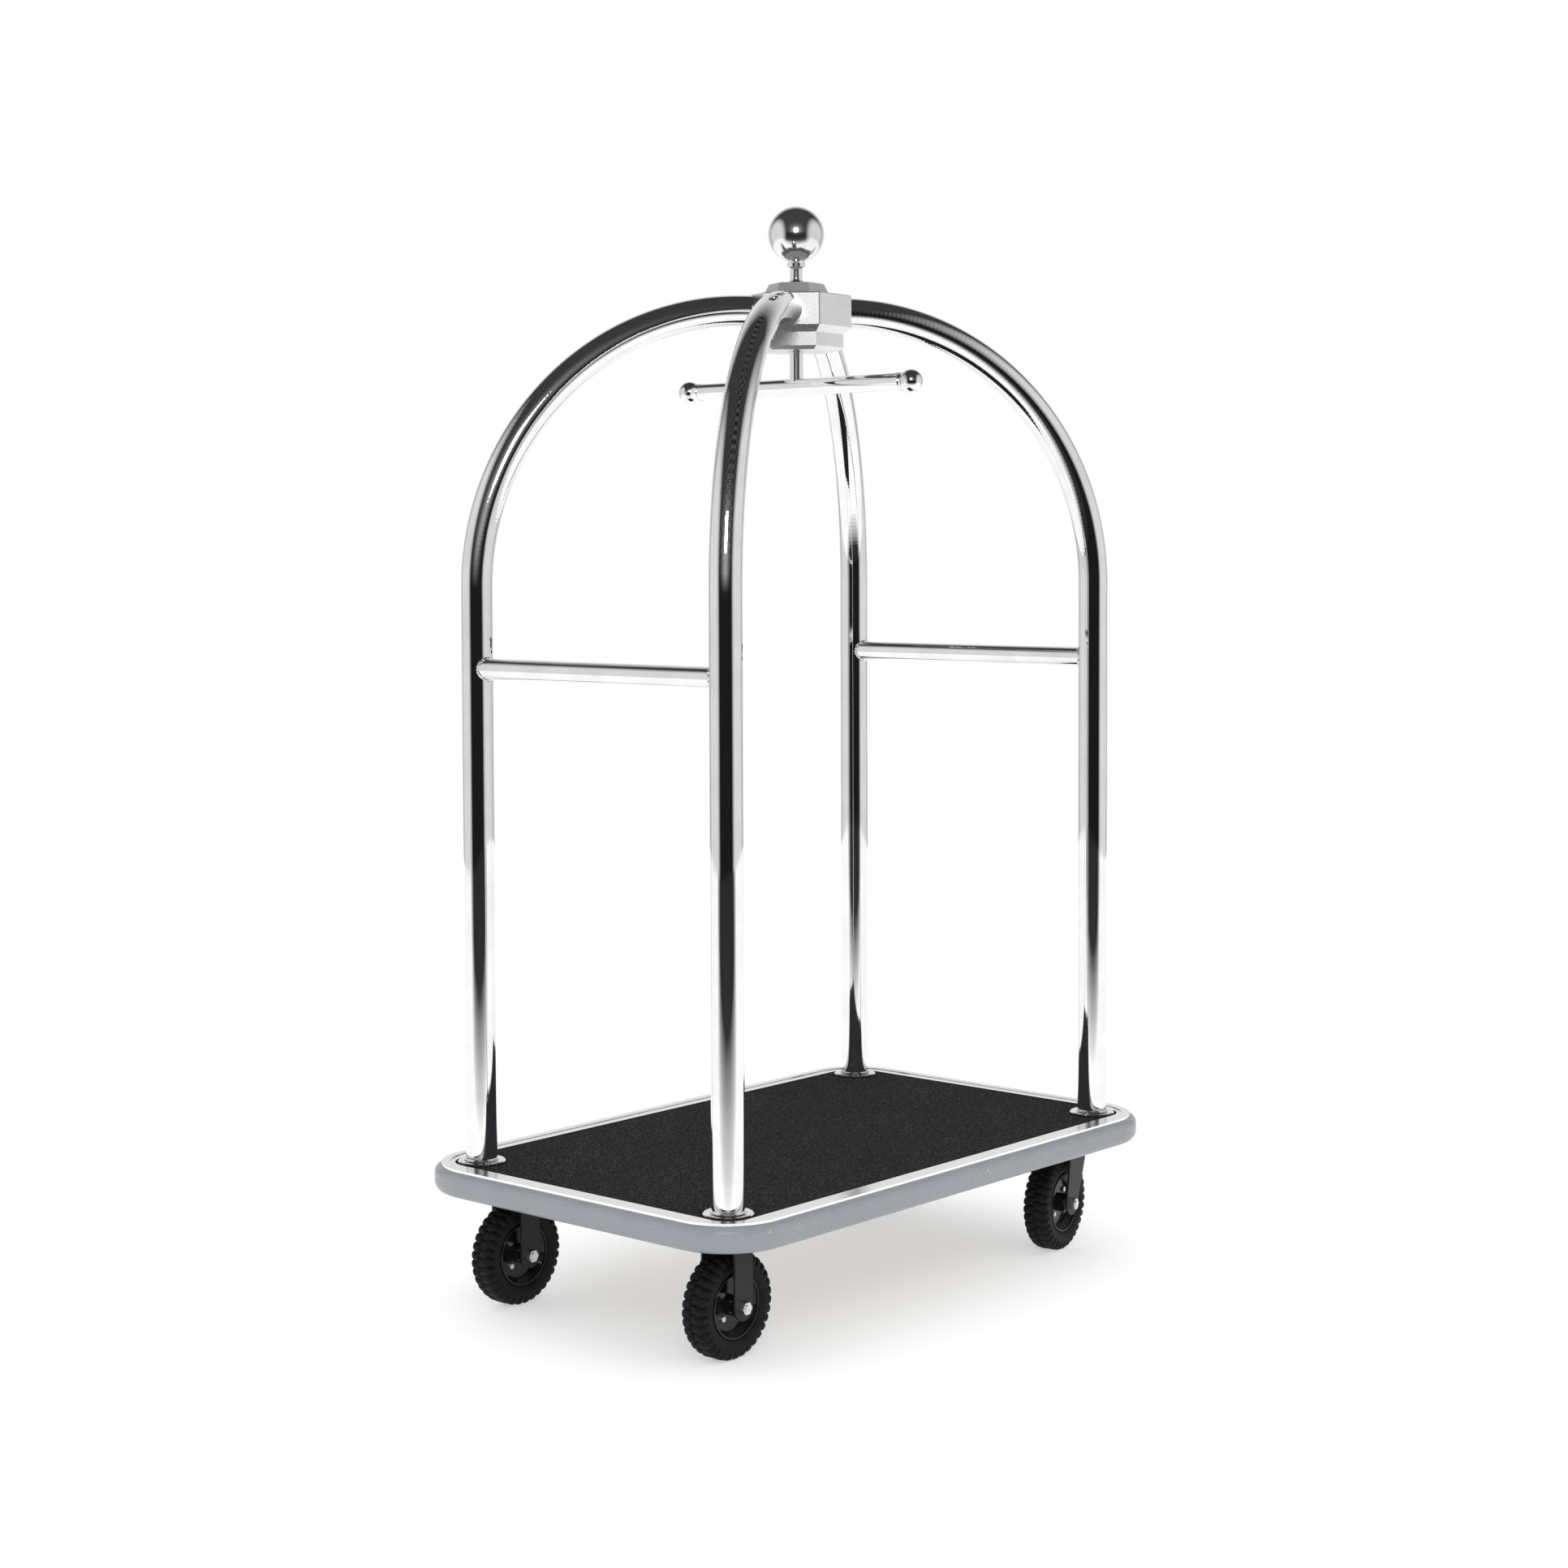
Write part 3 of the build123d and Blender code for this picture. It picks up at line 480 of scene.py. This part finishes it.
# ---- carpet ----
CARPET_CORNER = 0.0433
HOLE_R = FLANGE_R + 0.0003
CELL = 0.0036
EDGE_BAND = 0.004  # over which the pile falls away at its edges
PILE_TOP = deck_top - 0.0009  # the tufts stand up from here
SKIRT_FOOT = board_top + 0.0002
half_x, half_y = carpet_box[1].x, carpet_box[1].y


def inside_distance(x, y):
    """How far a point is inside the carpet's edge or a post's hole, negative outside."""
    dx = abs(x) - (half_x - CARPET_CORNER)
    dy = abs(y) - (half_y - CARPET_CORNER)
    outer = math.hypot(max(dx, 0), max(dy, 0)) + min(max(dx, dy), 0) - CARPET_CORNER
    hole = math.hypot(abs(x) - post_x, abs(y) - post_y) - HOLE_R
    return min(-outer, hole)


def pulled_to_edge(x, y):
    """The nearest point on the carpet's edge."""
    step = 0.0002
    for _ in range(3):
        here = inside_distance(x, y)
        gx = (inside_distance(x + step, y) - inside_distance(x - step, y)) / (2 * step)
        gy = (inside_distance(x, y + step) - inside_distance(x, y - step)) / (2 * step)
        size = math.hypot(gx, gy) or 1.0
        x -= here * gx / size
        y -= here * gy / size
    return x, y


def pile_carpet():
    columns = round(2 * half_x / CELL)
    rows = round(2 * half_y / CELL)
    mesh = bmesh.new()
    made = {}

    def vertex(i, j):
        if (i, j) not in made:
            x = -half_x + 2 * half_x * i / columns
            y = -half_y + 2 * half_y * j / rows
            made[i, j] = mesh.verts.new((x, y, 0))
        return made[i, j]

    for i in range(columns):
        for j in range(rows):
            x = -half_x + 2 * half_x * (i + 0.5) / columns
            y = -half_y + 2 * half_y * (j + 0.5) / rows
            if inside_distance(x, y) > 0:
                corners = ((i, j), (i + 1, j), (i + 1, j + 1), (i, j + 1))
                mesh.faces.new([vertex(*corner) for corner in corners])
    for v in mesh.verts:
        if v.is_boundary:
            v.co.x, v.co.y = pulled_to_edge(v.co.x, v.co.y)
    for v in mesh.verts:
        depth = inside_distance(v.co.x, v.co.y)
        edge = max(0.0, 1 - depth / EDGE_BAND)
        tuft = noise.noise(Vector((v.co.x * 190, v.co.y * 190, 3.1)))
        sway = noise.noise(Vector((v.co.x * 9, v.co.y * 9, 7.7)))
        v.co.z = PILE_TOP - 0.0011 * edge * edge + 0.0006 * tuft + 0.0003 * sway
    # the skirt down to the board, made edge by edge so that its order is the same in every run
    feet = {}
    for edge in [e for e in mesh.edges if e.is_boundary]:
        loop = edge.link_loops[0]
        here, ahead = loop.vert, loop.link_loop_next.vert
        for v in (here, ahead):
            if v not in feet:
                feet[v] = mesh.verts.new((v.co.x, v.co.y, SKIRT_FOOT))
        mesh.faces.new((ahead, here, feet[here], feet[ahead]))
    data = bpy.data.meshes.new("pile_carpet")
    mesh.to_mesh(data)
    mesh.free()
    data.polygons.foreach_set("use_smooth", [True] * len(data.polygons))
    data.materials.append(FINISH["carpet"])
    obj = bpy.data.objects.new("pile_carpet", data)
    scene.collection.objects.link(obj)
    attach(obj, "frame")
    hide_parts("carpet")


pile_carpet()


# ---- wheels ----
WHEEL_R = 0.0834
TYRE_HALF = 0.023
RIM_R = 0.0505
SHOULDER = 0.012
LUGS = 34
LUG_DEPTH = 0.0060
POINTS_PER_LUG = 14
SLIT_DEPTH = 0.0034  # of the wavy slit between the two rows of lugs
CASTER_TURN = 9.0  # degrees, of the swivel casters at rest
RIM_SIDES = 96
NUT_SIDES = 48
BOLT_CIRCLE_R = 0.026
BOLT_FLATS = 0.008
BOLT_HEIGHT = 0.0035
BOLT_DOME = 0.0004
WEB_NEAR, WEB_FAR = 0.003, 0.007  # from a wheel's middle to the two faces of its web


def wheel_axes(name):
    """The middle of a wheel and the matrix whose Z is its axle, pointing away from the cart."""
    low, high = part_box(f"{name}_tyre")
    centre = (low + high) / 2
    sy = CORNERS[name][1]
    turn = math.radians(CASTER_TURN) if name.startswith("front") else 0.0
    axle = Vector((-math.sin(turn), math.cos(turn), 0)) * sy
    x_axis = Vector((0, 0, 1))
    y_axis = axle.cross(x_axis)
    place = Matrix((x_axis, y_axis, axle)).transposed().to_4x4()
    place.translation = centre
    return place


def tyre_profile():
    """(radius, half height, how deep the lugs' grooves may be) from one bead to the other."""
    side = [(RIM_R - 0.0005, 0.0165, 0.0), (RIM_R + 0.002, 0.0195, 0.0), (RIM_R + 0.006, 0.0214, 0.0)]
    side += [(RIM_R + 0.011, 0.0225, 0.0), (RIM_R + 0.0145, TYRE_HALF, 0.0), (RIM_R + 0.0165, TYRE_HALF, 0.0)]
    side += [(RIM_R + 0.0180, TYRE_HALF, 0.35), (RIM_R + 0.0195, TYRE_HALF, 0.8)]
    for step in range(1, 9):
        angle = math.radians(90 * step / 8)
        radius = WHEEL_R - SHOULDER + SHOULDER * math.sin(angle)
        height = TYRE_HALF - SHOULDER + SHOULDER * math.cos(angle)
        side.append((radius, height, 1.0))
    side += [(WHEEL_R, height, 1.0) for height in (0.0095, 0.0080, 0.0065, 0.0050, 0.0036, 0.0024, 0.0012)]
    return [*side, (WHEEL_R, 0.0, 1.0), *[(r, -h, d) for r, h, d in reversed(side)]]


def smooth_step(value):
    value = min(1.0, max(0.0, value))
    return value * value * (3 - 2 * value)


def lugged_tyre():
    """Two staggered rows of rounded lugs that wrap over the shoulders, with a wavy slit between them."""
    around = LUGS * POINTS_PER_LUG
    profile = tyre_profile()
    pitch = 2 * math.pi * WHEEL_R / LUGS
    verts = []
    for i, (radius, height, room) in enumerate(profile):
        before = profile[max(i - 1, 0)]
        after = profile[min(i + 1, len(profile) - 1)]
        tangent = Vector((after[0] - before[0], after[1] - before[1])).normalized()
        normal = Vector((-tangent.y, tangent.x))
        if normal.dot(Vector((radius - WHEEL_R + 0.02, height * 1.5))) < 0:
            normal = -normal
        for j in range(around):
            turn = j / around
            phase = turn * LUGS + (0.5 if height > 0 else 0.0)
            lean = 0.10 * math.sin(abs(height) * 260)
            place = (phase + lean) % 1.0
            to_groove = min(place, 1 - place) * pitch
            out_of_middle = 1 - to_groove / (pitch / 2)
            groove = 1 - math.sqrt(max(0.0, 1 - 0.97 * out_of_middle**2.6))
            wave = 0.0017 * math.cos(2 * math.pi * LUGS * turn)
            slit = 1 - smooth_step((abs(height - wave) - 0.0002) / 0.0016)
            depth = room * max(LUG_DEPTH * groove, SLIT_DEPTH * slit)
            r = radius - normal.x * depth
            h = height - normal.y * depth
            angle = 2 * math.pi * turn
            verts.append((r * math.cos(angle), r * math.sin(angle), h))
    return verts, grid_faces(len(profile), around, False, True)


def placed(part, matrix):
    verts, faces = part
    return [matrix @ Vector(v) for v in verts], faces


def bolt_head(flats, height, dome):
    """A hexagon with a chamfered top and a domed middle, rising from zero."""
    corner = flats / math.sqrt(3)
    angles = [2 * math.pi * j / NUT_SIDES for j in range(NUT_SIDES)]
    verts = []
    for ring_height, limit in ((0.0, 2.0), (height * 0.80, 2.0), (height * 0.93, 0.97), (height, 0.90)):
        for angle in angles:
            local = (angle + math.pi / 6) % (math.pi / 3) - math.pi / 6
            reach = min(flats / 2 / math.cos(local), corner * limit)
            verts.append(Vector((reach * math.cos(angle), reach * math.sin(angle), ring_height)))
    for share, rise in ((0.60, 0.0), (0.56, 0.5), (0.45, 0.85), (0.25, 1.0), (0.02, 1.0)):
        radius = share * flats / 2
        for angle in angles:
            verts.append(Vector((radius * math.cos(angle), radius * math.sin(angle), height + dome * rise)))
    return verts, grid_faces(len(verts) // NUT_SIDES, NUT_SIDES, False, True)


def rim_edges(place):
    """The bright rolled edges on both sides of a rim."""
    roll = ((-0.0024, 0.0196), (-0.0014, 0.0206), (-0.0002, 0.0206), (0.0004, 0.0196))
    edges = []
    for side in (-1, 1):
        profile = [(RIM_R + out, side * height) for out, height in roll]
        edges.append(lathed(profile, RIM_SIDES, place))
    return join(edges)


def rim_bolts(place, sy):
    """Four bolt heads on each face of a rim's web, which stands off the wheel's middle."""
    head = bolt_head(BOLT_FLATS, BOLT_HEIGHT, BOLT_DOME)
    heads = []
    for side in (-1, 1):
        flip = Matrix.Identity(4) if side > 0 else Matrix.Rotation(math.pi, 4, "X")
        lift = Matrix.Translation((0, 0, WEB_FAR if (side > 0) == (sy < 0) else WEB_NEAR))
        for step in range(4):
            angle = math.radians(45 + 90 * step)
            spot = Matrix.Translation((BOLT_CIRCLE_R * math.cos(angle), BOLT_CIRCLE_R * math.sin(angle), 0))
            heads.append(placed(head, place @ flip @ spot @ lift))
    return join(heads)


tyre_mesh = lugged_tyre()
for name, (_, sy) in CORNERS.items():
    body = f"{name}_wheel"
    place = wheel_axes(name)
    tyre = piece(f"{name}_lugged_tyre", *placed(tyre_mesh, place), "tyre", body)
    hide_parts(f"{name}_tyre")
    piece(f"{name}_rim_edges", *rim_edges(place), "wheel_black", body)
    piece(f"{name}_rim_bolts", *rim_bolts(place, sy), "zinc", body, smooth=False)


# ---- floor, light and world ----
TOWARD = Vector((-0.757, -0.653, 0.0)).normalized()  # the side of the studio that is dark in reflections
SLATS_PER_RADIAN = 95.0
FLOOR_R = 6.5
FLOOR_SIDES = 120
FLOOR_GLOW = 0.46


def component(tree, coord, direction):
    """How far a point or direction goes along a fixed direction."""
    node = tree.nodes.new("ShaderNodeVectorMath")
    node.operation = "DOT_PRODUCT"
    node.inputs[1].default_value = direction
    tree.links.new(coord, node.inputs[0])
    return node.outputs["Value"]


def stage_floor():
    verts = [(0, 0, 0)]
    for j in range(FLOOR_SIDES):
        angle = math.radians(360 / FLOOR_SIDES * j)
        verts.append((FLOOR_R * math.cos(angle), FLOOR_R * math.sin(angle), 0))
    faces = [(0, 1 + j, 1 + (j + 1) % FLOOR_SIDES) for j in range(FLOOR_SIDES)]
    mesh = bpy.data.meshes.new("floor")
    mesh.from_pydata(verts, [], faces)
    m, tree, shader, coord = new_material("floor")
    # far from the cart the floor is dark in the tubes' reflections, as past the edge of a lit sweep
    reach = component(tree, coord, TOWARD)
    size = tree.nodes.new("ShaderNodeVectorMath")
    size.operation = "LENGTH"
    tree.links.new(coord, size.inputs[0])
    bearing = maths(tree, "DIVIDE", reach, size.outputs["Value"])
    in_sector = spread(tree, bearing, 0.50, 0.76, 0.0, 1.0)
    past = spread(tree, reach, 1.5, 3.3, 0.0, 1.0)
    rays = tree.nodes.new("ShaderNodeLightPath")
    unlit = maths(tree, "POWER", maths(tree, "MULTIPLY", in_sector, past), 0.6)
    dark = maths(tree, "MULTIPLY", unlit, rays.outputs["Is Glossy Ray"])
    tree.links.new(tones(tree, dark, (0.60, 0.60, 0.60), (0.02, 0.02, 0.02)), shader.inputs["Base Color"])
    glow = maths(tree, "MULTIPLY", maths(tree, "SUBTRACT", 1.0, dark), FLOOR_GLOW)
    tree.links.new(glow, shader.inputs["Emission Strength"])
    shader.inputs["Emission Color"].default_value = (1, 1, 1, 1)
    shader.inputs["Roughness"].default_value = 0.9
    shader.inputs["Specular IOR Level"].default_value = 0.1
    mesh.materials.append(m)
    obj = bpy.data.objects.new("floor", mesh)
    scene.collection.objects.link(obj)


def studio_world():
    """White all round, with a darker wall and ceiling that only mirror-like surfaces show."""
    world = bpy.data.worlds.new("studio")
    world.use_nodes = True
    scene.world = world
    tree = world.node_tree
    tree.nodes.clear()
    out = tree.nodes.new("ShaderNodeOutputWorld")
    coord = tree.nodes.new("ShaderNodeTexCoord").outputs["Generated"]
    sideways = maths(tree, "ABSOLUTE", component(tree, coord, TOWARD.cross(Vector((0, 0, 1)))), 0)
    in_band = spread(tree, sideways, 0.65, 0.866, 1.0, 0.0)
    ahead = spread(tree, component(tree, coord, TOWARD), -0.85, -0.55, 0.0, 1.0)
    dark = maths(tree, "MULTIPLY", in_band, ahead)
    # slats across the dark ceiling, and a glow round the lamp over the camera
    up_part = component(tree, coord, Vector((0, 0, 1)))
    rise = maths(tree, "ARCTAN2", up_part, component(tree, coord, TOWARD))
    slats = maths(tree, "SINE", maths(tree, "MULTIPLY", rise, SLATS_PER_RADIAN), 0)
    above = spread(tree, up_part, 0.10, 0.35, 0.0, 1.0)
    level = maths(tree, "MULTIPLY", above, spread(tree, slats, -1.0, 1.0, 0.0, 0.085))
    lamp = (TOWARD + Vector((0, 0, 0.17))).normalized()
    near_lamp = maths(tree, "MAXIMUM", component(tree, coord, lamp), 0.0)
    lifted = spread(tree, up_part, -0.01, 0.10, 0.0, 0.45)
    glow = maths(tree, "MULTIPLY", maths(tree, "POWER", near_lamp, 14.0), lifted)
    level = maths(tree, "ADD", maths(tree, "ADD", level, glow), 0.015)
    loss = maths(tree, "MULTIPLY", dark, maths(tree, "SUBTRACT", 1.0, level))
    mirrored = maths(tree, "SUBTRACT", 1.0, loss)
    rays = tree.nodes.new("ShaderNodeLightPath")
    plain = tree.nodes.new("ShaderNodeBackground")
    plain.inputs["Color"].default_value = (1, 1, 1, 1)
    tree.links.new(spread(tree, rays.outputs["Is Camera Ray"], 0, 1, 1.12, 1.0), plain.inputs["Strength"])
    studio = tree.nodes.new("ShaderNodeBackground")
    tree.links.new(mirrored, studio.inputs["Strength"])
    pick = tree.nodes.new("ShaderNodeMixShader")
    tree.links.new(rays.outputs["Is Glossy Ray"], pick.inputs[0])
    tree.links.new(plain.outputs[0], pick.inputs[1])
    tree.links.new(studio.outputs[0], pick.inputs[2])
    tree.links.new(pick.outputs[0], out.inputs["Surface"])


def softbox(name, place, target, size, power):
    light = bpy.data.lights.new(name, "AREA")
    light.shape = "RECTANGLE"
    light.size, light.size_y = size
    light.energy = power
    obj = bpy.data.objects.new(name, light)
    obj.location = place
    obj.rotation_euler = (Vector(target) - Vector(place)).to_track_quat("-Z", "Y").to_euler()
    scene.collection.objects.link(obj)


stage_floor()
studio_world()
softbox("key", (-3.65, -3.05, 2.85), (0, 0, 1.0), (1.20, 1.20), 44)

# ---- camera ----
azimuth, elevation, roll = (math.radians(value) for value in (-48.940, 2.807, -0.197))
back = Vector((
    math.sin(azimuth) * math.cos(elevation),
    -math.cos(azimuth) * math.cos(elevation),
    math.sin(elevation),
))
level_right = Vector((math.cos(azimuth), math.sin(azimuth), 0))
level_up = back.cross(level_right)
right = math.cos(roll) * level_right + math.sin(roll) * level_up
up = math.cos(roll) * level_up - math.sin(roll) * level_right
lens = bpy.data.cameras.new("camera")
lens.lens = 62.10
lens.sensor_width = 36.0
lens.shift_y = -0.0678
camera = bpy.data.objects.new("camera", lens)
camera.matrix_world = Matrix((right, up, back)).transposed().to_4x4()
camera.location = (-3.444, -2.970, 1.236)
scene.collection.objects.link(camera)
scene.camera = camera
scene.view_settings.view_transform = "Standard"
